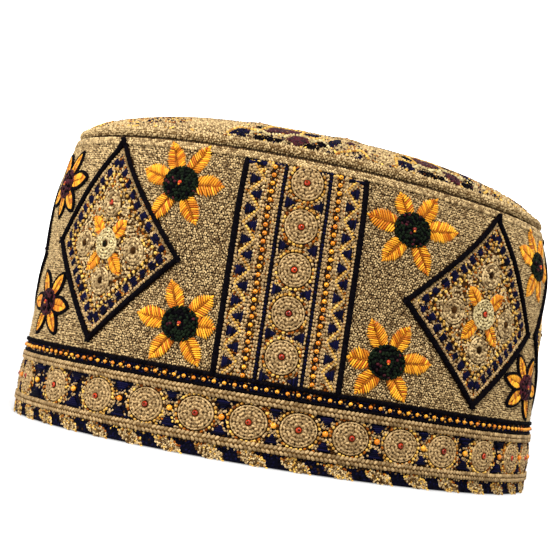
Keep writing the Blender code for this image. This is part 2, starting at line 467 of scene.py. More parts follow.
class Embroidery:
    """Knots, stitches, pads and cords worked on a chart, joined into one mesh at the end."""

    def __init__(self, chart=None, parts=None):
        self.chart = chart
        self.parts = [] if parts is None else parts

    def turned(self, a, b, turn=0.0, wide=1.0, tall=1.0):
        """The same work from a place on its chart, turned by an angle and drawn wider or taller."""
        return Embroidery(TurnedChart(self.chart, a, b, turn, wide, tall), self.parts)

    def knots(self, look, a, b, angle, half_length, half_width, half_height, lift, form=KNOT):
        """One small rounded body at each place, lying along its angle."""
        a, b, angle, *halves, lift = (np.asarray(value, dtype=float) for value in np.broadcast_arrays(
            np.atleast_1d(a), b, angle, half_length, half_width, half_height, lift))
        if a.size == 0:
            return
        along, rising, outward = axes_at(self.chart, a, b)
        forward = along * np.cos(angle)[:, None] + rising * np.sin(angle)[:, None]
        sideways = np.cross(outward, forward)
        shape, faces = form
        verts = self.chart.place(a, b, lift)[:, None, :]
        for axis, half, column in zip((forward, sideways, outward), halves, shape.T):
            verts = verts + axis[:, None, :] * (half[:, None] * column)[..., None]
        faces = faces + (np.arange(a.size) * len(shape))[:, None, None]
        tints = np.repeat(RNG.random(a.size), len(shape))
        self.parts.append((look, verts.reshape(-1, 3), faces.reshape(-1, 3), tints))

    def grid(self, look, verts, tint=0.5):
        """A grid of points joined into a sheet."""
        index = np.arange(verts.size // 3).reshape(verts.shape[:2])
        low, right = index[:-1, :-1].ravel(), index[:-1, 1:].ravel()
        up, corner = index[1:, :-1].ravel(), index[1:, 1:].ravel()
        faces = np.concatenate((np.stack((low, right, corner), 1), np.stack((low, corner, up), 1)))
        self.parts.append((look, verts.reshape(-1, 3), faces, np.full(index.size, tint)))

    def sheet(self, look, a, b, out, tint=0.5):
        """A grid of places on the chart joined into a sheet."""
        self.grid(look, self.chart.place(a, b, out), tint)

    def pad(self, look, a, b, half_a, half_b, rise, lift, rings=4, sides=20, tint=0.5):
        """A low round or oval dome."""
        share, turn = np.meshgrid(np.linspace(0.02, 1.0, rings), np.linspace(0.0, FULL_TURN, sides + 1))
        self.sheet(look, *oval(a, b, half_a * share, half_b * share, turn), lift + rise * dome(share), tint)

    def cord(self, look, a, b, half_width, rise, lift, step, closed=False, sides=8):
        """A flattened cord laid along a path, closed to a ring or with its two ends closed."""
        a, b = resample(a, b, step, closed)
        spots = np.arange(a.size)
        if closed:
            ahead, behind, order = np.roll(spots, -1), np.roll(spots, 1), np.append(spots, 0)
        else:
            ahead, behind = np.append(spots[1:], spots[-1]), np.append(0, spots[:-1])
            order = np.concatenate(((0,), spots, spots[-1:]))
        direction = unit(np.stack((a[ahead] - a[behind], b[ahead] - b[behind]), axis=1))[order]
        a, b = a[order, None], b[order, None]
        grow = np.ones(a.shape)
        if not closed:
            grow[[0, -1]] = 0.05
        turn = FULL_TURN * np.arange(sides + 1)[None, :] / sides
        across = half_width * np.cos(turn) * grow
        height = lift + rise / 2.0 * (1.0 + np.sin(turn) * grow)
        self.sheet(look, a + direction[:, 1:2] * across, b - direction[:, 0:1] * across, height)

    def rope(self, look, a, b, pitch=1.25, half_width=0.95, lift=0.95):
        """Slanting turns of thread along the top of a cord."""
        a, b = resample(a, b, pitch)
        angle = np.arctan2(np.diff(b), np.diff(a))
        self.knots(look, a, b, np.append(angle, angle[-1]) + 0.7, half_width, 0.42, 0.22, lift)

    def mixed_fill(self, a, b, mix, lift=0.3, size=1.0):
        """Grains in a mix of threads: pairs of look and share."""
        for look, pick in picked(a.size, mix):
            count = np.count_nonzero(pick)
            angle = RNG.uniform(0.0, math.pi, count)
            self.knots(look, a[pick], b[pick], angle, 0.56 * size, 0.40 * size, 0.32,
                       lift + RNG.uniform(-0.08, 0.08, count), SPECK)

    def build(self, name, slot, replaced=()):
        """Make the mesh object, with a look for each triangle and a tint for each point."""
        looks, verts, faces, tints = zip(*self.parts)
        starts = np.cumsum([0] + [len(part) for part in verts[:-1]])
        corners = np.concatenate([part + start for part, start in zip(faces, starts)]).astype(np.int32)
        names = sorted(set(looks))
        index = np.repeat([names.index(look) for look in looks], [len(part) for part in faces])
        mesh = bpy.data.meshes.new(name)
        mesh.vertices.add(sum(map(len, verts)))
        mesh.vertices.foreach_set("co", (np.concatenate(verts) * MM).astype(np.float32).ravel())
        mesh.loops.add(corners.size)
        mesh.loops.foreach_set("vertex_index", corners.ravel())
        mesh.polygons.add(len(corners))
        mesh.polygons.foreach_set("loop_start", np.arange(0, corners.size, 3, dtype=np.int32))
        mesh.polygons.foreach_set("material_index", index.astype(np.int32))
        mesh.update(calc_edges=True)
        mesh.shade_smooth()
        attribute = mesh.attributes.new("tint", "FLOAT", "POINT")
        attribute.data.foreach_set("value", np.concatenate(tints).astype(np.float32))
        for look in names:
            mesh.materials.append(material_for(look))
        piece = bpy.data.objects.new(name, mesh)
        bpy.context.scene.collection.objects.link(piece)
        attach(piece, "root")
        if replaced:
            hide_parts(*replaced)


WALL = WallChart()
OVER_BRAID = OverBraidChart()
CROWN = CrownChart()
RIM_LENGTH = FULL_TURN * WallChart.spread
HALF_RIM = RIM_LENGTH / 2.0
RIM_ENDS = np.array((-HALF_RIM, HALF_RIM))


def degrees_along(angle):
    """A place along the wall, from its angle in degrees."""
    return math.radians(angle) * WallChart.spread


def rim_spots(count, offset):
    """Evenly spaced places round the wall, the first moved on by a share of their spacing."""
    return (np.arange(count) + offset) * RIM_LENGTH / count - HALF_RIM


def round_rim(distance):
    """A distance along the wall, taken the short way round."""
    return (distance + HALF_RIM) % RIM_LENGTH - HALF_RIM


def turned_ground(name, outside, inside, slot, replaced):
    """A body turned from an outer and an inner profile, with lining on its inner side."""
    work = Embroidery()
    angle = np.linspace(0.0, FULL_TURN, GROUND_SEGMENTS + 1)
    for look, profile in (("wall_ground", outside), ("lining", inside)):
        radius, height = np.array(profile).T[:, :, None]
        x, y = in_plan(radius, angle)
        work.grid(look, np.stack((x, y, leaned(x, y, height)), axis=-1))
    work.build(name, slot, replaced)


def make_wall_ground():
    heights = np.concatenate(((1.2, 3.0), np.linspace(6.0, SEAM_HEIGHT, 20)))
    outside = [(RIM_RADIUS - 1.0, 0.0), (RIM_RADIUS - 0.3, 0.3)]
    outside += [(wall_radius(height), height) for height in heights]
    top = outside[-1]
    outside += [(top[0] - 0.4, top[1] + 0.1), (top[0] - WALL_THICKNESS, top[1])]
    inside = [(radius - WALL_THICKNESS, height) for radius, height in reversed(outside[2:-2])]
    inside[0] = outside[-1]
    inside += [(RIM_RADIUS - WALL_THICKNESS, 0.4), (RIM_RADIUS - WALL_THICKNESS + 0.4, 0.0), outside[0]]
    turned_ground("wall_ground", outside, inside, "wall_cloth", ("side_wall",))


def make_crown_ground():
    outer = np.concatenate((np.linspace(0.02, 64.0, 14), np.linspace(67.0, CROWN_EDGE, 14)))
    outside = [(radius, crown_height(radius)) for radius in outer[::-1]]
    inside = [(radius, height - CROWN_THICKNESS) for radius, height in reversed(outside)]
    edge = outside[0]
    inside += [(edge[0] + 0.2, edge[1] - 0.6), edge]
    turned_ground("crown_ground", outside, inside, "crown_cloth", ("crown",))


def braid(node, height, half_width, rows, pitch, look="plait", rise=1.05):
    """A flat braid: rows of slanted loops on a low core."""
    work = Embroidery(WALL)
    work.cord("bark", RIM_ENDS, height, half_width, rise, lift=0.1, step=2.4)
    loops = int(RIM_LENGTH / pitch)
    for row in range(rows):
        across = height - half_width + half_width * 2.0 / rows * (row + 0.5)
        angle = math.radians(BRAID_SLANT if row % 2 else -BRAID_SLANT) + RNG.normal(0.0, 0.12, loops)
        work.knots(look, rim_spots(loops, 0.5 * (row % 2)), across + RNG.normal(0.0, 0.06, loops), angle,
                   0.60 * pitch + 0.1, 0.40 * pitch, 0.42, rise - 0.07)
    spots = rim_spots(loops, 0.25)[RNG.random(loops) < 0.8]
    work.knots("umber", spots, height + RNG.normal(0.0, 0.12, spots.size), 0.0, 0.30, 0.24, 0.2,
               rise + 0.15, SPECK)
    work.build(f"{node}_thread", "beige_cord", (node,))


def edge_cord():
    """The corded roll over the seam, covered with the ground's grains."""
    radius, height = EDGE_CORD_CENTRE
    cord_radius = EDGE_CORD_RADIUS - 0.3
    work = Embroidery(RingChart(radius, height, cord_radius))
    length = FULL_TURN * radius
    a, b = np.meshgrid(np.linspace(0.0, length, 241), np.linspace(0.0, FULL_TURN * cord_radius, 11))
    work.sheet("bark", a, b, 0.0)
    a, b = scatter(0.0, length, -1.15 * cord_radius, 3.2 * cord_radius, EDGE_CORD_PITCH)
    ground_knots(work, a, b, EDGE_CORD_PITCH)
    work.build("crown_edge_roll", "beige_cord", ("crown_edge_cord",))


# Medallions: the radius of the coil's eye, the coil's pitch, the spacing of the stitches in it and on its
# rim, and that of the seeds round it
MEDALLION_EYE = 1.35
COIL_PITCH = 1.12
COIL_STITCH = 0.98
COIL_RIM_STITCH = 1.15
SEED_SPACING = 1.42


def medallion(work, a, b, half_a, look, bead, half_b=None, outline=True, lift=0.1, rise=0.75):
    """A coil of knotted thread on a low pad, with a bead and a dotted outline."""
    half_b = half_b or half_a
    mean = (half_a + half_b) / 2.0
    work.pad("plait", a, b, half_a, half_b, rise, lift, tint=0.25)

    def around(look, radius, turn, angle, *halves, over, form=KNOT):
        share = radius / mean
        work.knots(look, *oval(a, b, half_a * share, half_b * share, turn), angle, *halves,
                   lift + rise * dome(share) + over, form)

    rings = max(2, int(round((mean - 2.0) / COIL_PITCH)))
    pitch = (mean - MEDALLION_EYE - 0.7) / rings
    for ring in range(rings):
        radius = MEDALLION_EYE + pitch * (ring + 0.5)
        count = 2 * int(round(math.pi * radius / COIL_STITCH))
        turn = even_turns(count) + RNG.normal(0.0, 0.04, count)
        slant = np.where((np.arange(count) + ring) % 2 == 0, 0.72, -0.72) + RNG.normal(0.0, 0.22, count)
        around(look, radius, turn, turn + QUARTER_TURN + slant, 0.78, 0.40, 0.46, over=0.06)
        turn = FULL_TURN * (np.arange(count // 2) * 2.0 + 0.5) / count
        around("umber", radius + pitch * 0.48, turn, turn + 0.4, 0.38, 0.30, 0.2, over=0.40, form=SPECK)
    turn = even_turns(int(round(FULL_TURN * mean / COIL_RIM_STITCH)))
    around(look, mean - 0.45, turn, turn + QUARTER_TURN + 0.12, 0.86, 0.34, 0.42, over=0.10)
    centre = np.array((a, b)) + RNG.normal(0.0, 0.16, 2)
    work.knots("umber", *centre, 0.0, 1.35, 1.35, 0.3, lift + rise, BEAD)
    work.knots(bead, *centre, 0.0, 0.96, 0.96, 0.62, lift + rise + 0.18, BEAD)
    hole = centre + RNG.normal(0.0, 0.12, 2)
    work.knots("umber", *hole, 0.0, 0.44, 0.44, 0.14, lift + rise + 0.76, SPECK)
    if outline:
        dotted_ring(work, a, b, half_a + 0.62, half_b + 0.62, lift)


def beads(work, a, b, radius, lift):
    """Round glassy beads, each with the dark mouth of its hole."""
    work.knots("amber_bead", a, b, 0.0, radius, radius, radius * 0.95, lift, BEAD)
    work.knots("umber", a + RNG.normal(0.0, 0.12, a.size), b - 0.30 + RNG.normal(0.0, 0.1, a.size), 0.0,
               0.28, 0.22, 0.12, lift + radius * 0.88, SPECK)


def dotted_ring(work, a, b, half_a, half_b, lift):
    """Gold, beige and brown seeds round a medallion, over a thin dark line."""
    line = oval(a, b, half_a, half_b, even_turns(40))
    work.cord("umber", *line, 0.55, 0.3, lift=lift, step=1.1, closed=True, sides=4)
    count = int(round(FULL_TURN * (half_a + half_b) / 2.0 / SEED_SPACING))
    turn = even_turns(count) + RNG.normal(0.0, 0.03, count)
    for look, pick in picked(count, (("gold", 0.55), ("sand", 0.23), ("rust", 0.22))):
        work.knots(look, *oval(a, b, half_a, half_b, turn[pick]), turn[pick] + QUARTER_TURN + 0.25,
                   0.58, 0.40, 0.38, lift + 0.38)


# Satin stitches: their spacing in petals, squares and triangles
PETAL_STITCH = 0.74
SQUARE_STITCH = 0.62
TRIANGLE_STITCH = 0.58
# A petal's width at its foot, and where it is widest, as shares of its widest part and of its length
PETAL_FOOT = 0.74
PETAL_WIDEST = 0.34


def petal_width(share):
    """A petal's width along its length, as a share of its widest part."""
    rising = np.sin(QUARTER_TURN * np.clip(share / PETAL_WIDEST, 0.0, 1.0))
    falling = 1.0 - np.clip((share - PETAL_WIDEST) / (1.0 - PETAL_WIDEST), 0.0, 1.0) ** 1.95
    return (PETAL_FOOT + (1.0 - PETAL_FOOT) * rising) * falling


def petal(work, angle, start, length, half_width, edged=False):
    """A leaf of satin stitches that run outward from its midrib."""
    local = work.turned(0.0, 0.0, angle)
    length -= 0.2
    share, side = np.meshgrid(np.linspace(0.0, 1.0, 9), np.linspace(-1.0, 1.0, 5))
    spread = half_width * 0.92 * petal_width(share) + 0.05
    local.sheet("rust", start + length * share, side * spread, 0.30 + 0.28 * (1.0 - side ** 2))
    if edged:
        reach = np.concatenate((np.linspace(0.0, 1.0, 8), np.linspace(1.0, 0.0, 8)[1:]))
        flip = np.repeat((1.0, -1.0), (8, 7))
        local.cord("black", start + (length + 1.0) * reach,
                   flip * (half_width * 1.02 * petal_width(reach) + 0.25), 0.85, 0.95, lift=0.1, step=1.2)
    count = max(6, int(round(length / PETAL_STITCH)))
    travel = (np.arange(count) + 0.2) / count
    width = half_width * petal_width(np.clip(travel + 0.05, 0.0, 1.0)) + 0.22
    root = start + length * travel
    tip = root + 0.42 * width + 0.35
    for flip in (-1.0, 1.0):
        across = flip * width * (1.0 + RNG.normal(0.0, 0.04, count))
        half_run = np.hypot(tip - root, across) / 2.0 + 0.15
        angles = np.arctan2(across, tip - root) + RNG.normal(0.0, 0.05, count)
        local.knots("amber", (root + tip) / 2.0, across / 2.0, angles, half_run, 0.28, 0.42, 0.62)
    local.knots("amber", start + length, 0.0, 0.0, 0.6, 0.34, 0.32, 0.6)
    midrib = start + length * np.array((0.2, 0.45, 0.7))
    local.knots("rust", midrib, 0.0, 0.0, length * 0.13, 0.18, 0.16, 0.92)


def dark_disc(work, radius, look, fleck):
    """The round knotted heart of a flower, with its two beads."""
    work.pad("black", 0.0, 0.0, radius + 0.25, radius + 0.25, 0.7, 0.7, sides=28)
    a, b = scatter(-radius, radius, -radius, radius, 0.98, 0.3)
    share = np.hypot(a, b) / radius
    inside = share < 0.97
    a, b, height = a[inside], b[inside], 0.80 + 0.7 * dome(share[inside])
    for thread, pick in picked(a.size, ((look, 0.66), ("black", 0.25), (fleck, 0.09))):
        angle = RNG.uniform(0.0, math.pi, np.count_nonzero(pick))
        work.knots(thread, a[pick], b[pick], angle, 0.66, 0.46, 0.36, height[pick])
    turn = even_turns(int(FULL_TURN * radius / 1.2))
    work.knots(look, *oval(0.0, 0.0, radius, radius, turn), turn + QUARTER_TURN + 0.2, 0.74, 0.42, 0.45, 0.95)
    work.knots("red_bead", 0.15, 0.2, 0.0, 0.72, 0.72, 0.6, 1.6, BEAD)
    work.knots("amber_bead", 0.1, -0.5, 0.0, 0.36, 0.36, 0.40, 1.85, BEAD)


# Flowers: angle from the front in degrees, height, kind, how much wider and taller than the plain
# flower, and the six petals' angles clockwise from upright
SUN, WINE = "sun", "wine"
FLOWERS = (
    (-27.5, 83.2, SUN, 1.20, 1.0, (-23, 27, 85, 150, 212, 284)),
    (-21.8, 39.5, SUN, 1.15, 1.0, (-20, 40, 92, 146, 214, 274)),
    (22.8, 82.3, SUN, 1.20, 1.0, (-21, 33, 80, 153, 211, 279)),
    (21.0, 38.8, SUN, 1.17, 1.0, (-27, 24, 84, 150, 213, 269)),
    (-68.3, 80.4, WINE, 1.25, 0.90, (24, 82, 138, 186, 240, 322)),
    (-64.3, 39.5, WINE, 1.25, 0.84, (-29, 32, 93, 146, 204, 270)),
    (67.0, 82.9, SUN, 1.35, 0.90, (-24, 38, 96, 162, 208, 292)),
    (66.8, 39.0, WINE, 1.30, 0.84, (-30, 28, 100, 161, 233, 281)),
    (-112.5, 82.5, SUN, 1.0, 1.0, (-14, 44, 104, 164, 226, 286)),
    (-112.5, 39.4, SUN, 1.0, 1.0, (-8, 52, 112, 170, 232, 290)),
    (112.5, 82.5, SUN, 1.0, 1.0, (-20, 40, 98, 160, 220, 280)),
    (112.5, 39.4, SUN, 1.0, 1.0, (-12, 48, 108, 168, 228, 288)),
    (-156.0, 82.5, WINE, 1.1, 1.0, (-16, 42, 104, 164, 222, 284)),
    (-156.0, 39.4, SUN, 1.1, 1.0, (-10, 50, 110, 168, 230, 290)),
    (156.0, 82.5, SUN, 1.1, 1.0, (-14, 44, 102, 162, 224, 286)),
    (156.0, 39.4, WINE, 1.1, 1.0, (-8, 52, 110, 172, 232, 292)),
)
# Petals that are shorter or longer than the plain one, by the row of their flower and their angle:
# their length as a share of the plain petal's
PETAL_SHARES = {
    (0, 85): 0.96, (1, 40): 0.88, (1, 92): 0.62, (2, -21): 0.8, (2, 80): 1.08, (2, 279): 0.96,
    (3, 150): 0.95, (3, 269): 0.72, (4, 24): 0.85, (4, 138): 0.9, (4, 186): 0.82, (5, 93): 0.88,
}
FLOWER_DISC = 5.3
PETAL_LENGTH = 9.5
PETAL_HALF_WIDTH = 3.1
WINE_SLIMNESS = 0.84


def flower(work, kind, petal_angles, disc=FLOWER_DISC, length=PETAL_LENGTH, half_width=PETAL_HALF_WIDTH,
           row=None):
    """A dark heart with six petals. A wine flower's petals are slimmer and edged in black."""
    edged = kind == WINE
    half_width *= WINE_SLIMNESS if edged else 1.0
    for angle in petal_angles:
        turn = math.radians(90.0 - angle + RNG.normal(0.0, 1.5))
        reach = length * (1.0 + RNG.normal(0.0, 0.03)) * PETAL_SHARES.get((row, angle), 1.0)
        petal(work, turn, disc * 0.86, reach, half_width * (1.0 + 0.10 * math.cos(2.0 * turn)), edged)
    dark_disc(work, disc, *(("wine", "black") if edged else ("pine", "wine")))


def make_flowers():
    for row, (angle, height, kind, wide, tall, petal_angles) in enumerate(FLOWERS):
        work = Embroidery(OVER_BRAID).turned(degrees_along(angle), height, 0.0, wide, tall)
        flower(work, kind, petal_angles, row=row)
        work.build(f"flower_{row + 1:02d}", "medallion_thread")


# Diamonds: their top, right, bottom and left corners as angle from the front in degrees and height
DIAMONDS = (
    ((-47.0, 96.4), (-24.2, 59.3), (-44.2, 28.8), (-63.9, 60.9)),
    ((47.1, 95.8), (65.0, 57.5), (43.8, 28.4), (22.7, 59.5)),
    ((-95.0, 96.0), (-74.6, 55.5), (-95.0, 28.6), (-111.3, 59.5)),
    ((90.0, 96.0), (111.3, 59.5), (90.0, 28.6), (69.2, 57.9)),
    ((-134.0, 96.0), (-113.0, 59.5), (-134.0, 28.6), (-155.0, 59.5)),
    ((134.0, 96.0), (155.0, 59.5), (134.0, 28.6), (113.0, 59.5)),
)
DIAMOND_HALF = 34.0
DIAMOND_TIPS = np.array(((0.0, 1.0), (1.0, 0.0), (0.0, -1.0), (-1.0, 0.0)))
DIAMOND_SQUARES = 9
DIAMOND_MEDALLION = 4.6
DIAMOND_MEDALLION_REACH = 13.6
DIAMOND_HUB = 5.3
DIAMOND_DROP = 1.3


def square_patch(work, a, b, half, turn, lift):
    """A small navy square of parallel satin stitches."""
    local = work.turned(a, b, turn)
    count = max(3, int(round(2.0 * half / SQUARE_STITCH)))
    offsets = np.linspace(-half + 0.3, half - 0.3, count)
    local.knots("navy", RNG.normal(0.0, 0.08, count), offsets, 0.0, half * 1.05, 0.42, 0.36, lift)


def triangle_patch(work, a, b, base, height, turn, lift):
    """A small navy triangle of satin stitches across its point, which lies at the turn's direction."""
    local = work.turned(a, b, turn)
    count = max(4, int(round(height / TRIANGLE_STITCH)))
    share = (np.arange(count) + 0.4) / count
    local.knots("navy", (share - 0.42) * height, RNG.normal(0.0, 0.05, count), QUARTER_TURN,
                base / 2.0 * (1.05 - share) + 0.15, 0.40, 0.36, lift)


def diamond_sides(reach):
    """The two ends of each side of a diamond with its corners at a distance from its middle."""
    return zip(DIAMOND_TIPS * reach, np.roll(DIAMOND_TIPS, -1, axis=0) * reach)


def diamond(number, corners):
    """A corded diamond with a border of seeds and squares round a field of five medallions."""
    work = Embroidery(DiamondChart(OVER_BRAID, *diamond_places(corners), half=DIAMOND_HALF))
    steps = np.linspace(-1.0, 1.0, 27)
    u, v = np.meshgrid(steps, steps)
    work.sheet("umber", DIAMOND_HALF * (u + v) / 2.0, DIAMOND_HALF * (v - u) / 2.0, 0.12)
    for start, end in diamond_sides(DIAMOND_HALF - 1.2):
        over = unit(end - start) * 0.95
        path = np.stack((start - over, end + over), axis=1)
        work.cord("black", *path, 0.98, 1.3, lift=0.15, step=1.6)
        work.rope("black", *path, lift=1.3)

    seed, knob = (0.55, 0.42, 0.38, 0.38), (0.60, 0.54, 0.45, 0.5)
    for inset, look, pitch, every, first, sizes in (
            (3.7, "sand", 1.2, 1, 0, seed),
            (10.6, "gold", 1.1, 2, 0, knob),
            (10.6, "umber", 1.1, 2, 1, seed)):
        a, b = resample(*(DIAMOND_HALF - inset) * DIAMOND_TIPS.T, pitch, closed=True)
        a, b = a[first::every], b[first::every]
        work.knots(look, a, b, RNG.uniform(0.0, math.pi, a.size), *sizes)

    for start, end in diamond_sides(DIAMOND_HALF - 6.9):
        turn = math.atan2(end[1] - start[1], end[0] - start[0])
        for square in range(DIAMOND_SQUARES):
            spot = start + (end - start) * (square + 0.5) / DIAMOND_SQUARES + RNG.normal(0.0, 0.12, 2)
            square_patch(work, *spot, RNG.uniform(1.15, 1.5), turn + RNG.normal(0.0, 0.15), 0.45)

    a, b = scatter(-DIAMOND_HALF, DIAMOND_HALF, -DIAMOND_HALF, DIAMOND_HALF, 0.86)
    depth = DIAMOND_HALF - np.abs(a) - np.abs(b)
    reach, drop = DIAMOND_MEDALLION_REACH, -DIAMOND_DROP
    hubs = ((reach, drop), (-reach, drop), (0.0, reach + drop), (0.0, -reach), (0.0, drop))
    clear = np.min([np.hypot(a - hub[0], b - hub[1]) for hub in hubs], axis=0) > DIAMOND_MEDALLION + 0.2
    border = (depth > 2.6) & (depth < 10.0)
    work.mixed_fill(a[border], b[border], (("sand", 0.50), ("gold", 0.10), ("rust", 0.09), ("navy", 0.08)))
    field = (depth > 11.2) & clear
    work.mixed_fill(a[field], b[field], (("khaki", 0.54), ("gold", 0.09), ("rust", 0.10)))

    turn = even_turns(22)
    reach = DIAMOND_MEDALLION + 0.75
    for hub_a, hub_b in hubs[:4]:
        medallion(work, hub_a, hub_b, DIAMOND_MEDALLION, "khaki",
                  "red_bead" if number % 2 and hub_b > 1.0 else "umber", outline=False, lift=0.2, rise=0.5)
        draw = RNG.random(turn.size)
        for look, pick in (("khaki", draw < 0.62), ("gold", draw > 0.88)):
            work.knots(look, *oval(hub_a, hub_b, reach, reach, turn[pick]), turn[pick] + QUARTER_TURN,
                       0.62, 0.34, 0.36, 0.5)
    for angle in (45.0, 135.0, 225.0, 315.0):
        petal(work.turned(0.0, drop), math.radians(angle), 4.4, 8.1, 2.4)
    medallion(work, 0.0, drop, DIAMOND_HUB, "cream", "pine" if number % 2 else "red_bead",
              outline=False, lift=0.7, rise=0.55)
    work.build(f"diamond_{number}", "medallion_thread")


def diamond_places(corners):
    return [(degrees_along(angle), height) for angle, height in corners]


def diamond_share(corners, a, b):
    """How far places on the wall lie from a diamond's middle, with 1 on its outline."""
    chart = DiamondChart(WALL, *diamond_places(corners), half=1.0)
    right, left, top, bottom = chart.arms
    offset = np.stack((a - chart.centre[0], b - chart.centre[1]), axis=-1)
    share = np.full(a.shape, 9.0)
    for side in (right, left):
        for rise in (top, bottom):
            parts = offset @ np.linalg.inv(np.array((side, rise)))
            inside = (parts[..., 0] >= 0.0) & (parts[..., 1] >= 0.0)
            share = np.where(inside, parts.sum(axis=-1), share)
    return share


# Panels: the front one's middle lies a little left of the front
PANELS = (("panel_front", -0.6), ("panel_back", 180.0))
PANEL_HALF_WIDTH = 20.6
PANEL_TOP = 94.2
PANEL_NARROWING = 0.024
PANEL_SHIFT = 0.7
PANEL_SIDE_SHIFT = 0.8
PANEL_INNER_LINE = 7.7
PANEL_BEADS = 11.15
PANEL_TRIANGLES = 16.1
PANEL_MEDALLION = 5.45
PANEL_MEDALLION_PITCH = 13.8
PANEL_MEDALLIONS = 5
PANEL_FIRST_MEDALLION = 34.5
PANEL_BEAD_PITCH = 2.64
PANEL_TRIANGLE_STEP = 4.83


def panel_drop(b):
    """How far down a panel a height lies, from 0 at its top to 1 at its foot."""
    return np.clip((PANEL_TOP - b) / (PANEL_TOP - BAND_TOP), 0.0, 1.0)


class PanelChart:
    """The wall's chart with a panel's slight narrowing and shift towards its foot.

    The panel's sides also lie a little further to the left than its middle.
    """

    def __init__(self, angle):
        self.a = degrees_along(angle)

    def place(self, a, b, out):
        drop = panel_drop(b)
        shift = PANEL_SIDE_SHIFT * np.clip((np.abs(a) - PANEL_INNER_LINE) / 12.0, 0.0, 1.0)
        return WALL.place(self.a + (a - shift) * (1.0 - PANEL_NARROWING * drop) + PANEL_SHIFT * drop, b, out)

    def across(self, a, b):
        """How far places on the wall lie from the panel's middle, at its own width."""
        drop = panel_drop(b)
        shift = round_rim(a - self.a - PANEL_SHIFT * drop)
        return np.abs(shift) / (1.0 - PANEL_NARROWING * drop) + PANEL_SIDE_SHIFT * np.sign(shift)


def seed_column(work, place, look, pitch, slant):
    """A line of seeds from a panel's foot to its top."""
    count = int((PANEL_TOP - BAND_TOP) / pitch)
    heights = BAND_TOP + (np.arange(count) + 0.5) * (PANEL_TOP - BAND_TOP) / count
    work.knots(look, place + RNG.normal(0.0, 0.08, count), heights, RNG.normal(slant, 0.3, count),
               0.56, 0.40, 0.40, 0.42)


def panel_side(work, side):
    """The cords, beads, seeds and triangles on a panel's left, at -1, or its right, at 1."""
    low, high, right = BAND_TOP, PANEL_TOP, side > 0.0
    ends = np.array((low - 0.3, high))
    work.cord("black", side * PANEL_HALF_WIDTH, ends, 1.0, 0.95, lift=0.15, step=1.6)
    work.rope("black", side * PANEL_HALF_WIDTH, ends)
    work.cord("black", side * PANEL_INNER_LINE, ends, 0.66, 0.75, lift=0.15, step=1.6)
    work.rope("navy", side * PANEL_INNER_LINE, ends, half_width=0.66, lift=0.72)
    work.cord("umber", side * PANEL_BEADS, ends, 1.15, 0.25, lift=0.15, step=2.0, sides=4)

    heights = np.arange(low + (1.33 if right else 0.6), high, PANEL_BEAD_PITCH)
    spots = side * PANEL_BEADS + RNG.normal(0.0, 0.05, heights.size)
    beads(work, spots, heights, 0.76, 0.85)
    for across, look in ((-0.5, "umber"), (0.5, "sand"), (0.0, "navy")):
        work.knots(look, spots + across, heights + 1.33, 0.0, 0.30, 0.42, 0.3, 0.55, SPECK)
    for offset, look, slant in ((-1.75, "sand", 1.3), (-2.7, "sand", 1.9), (1.75, "sand", 1.3),
                                (8.1, "sand", 1.3), (2.6, "khaki", 1.9)):
        seed_column(work, side * (PANEL_BEADS + offset), look, 1.2, slant * side)

    first = low + (5.2 if right else 4.0)
    rows = int((high - first) / PANEL_TRIANGLE_STEP + 0.7)
    inward = math.pi if right else 0.0
    for row in range(rows):
        shift, turn = (-0.65, inward + math.pi) if row % 2 else (0.65, inward)
        triangle_patch(work, side * (PANEL_TRIANGLES + shift), first + row * PANEL_TRIANGLE_STEP,
                       4.1, 3.5, turn, 0.55)
    turns = np.arange(-1, rows + 1)
    zigzag = side * (PANEL_TRIANGLES + np.where(turns % 2 == 0, -2.1, 2.1))
    for shift, look in ((-0.5, "sand"), (0.5, "gold")):
        a, b = resample(zigzag, first + turns * PANEL_TRIANGLE_STEP + shift, 1.05)
        inside = (b > low + 0.2) & (b < high - 0.4)
        angle = RNG.uniform(0.0, math.pi, np.count_nonzero(inside))
        work.knots(look, a[inside], b[inside], angle, 0.52, 0.42, 0.40, 0.58)


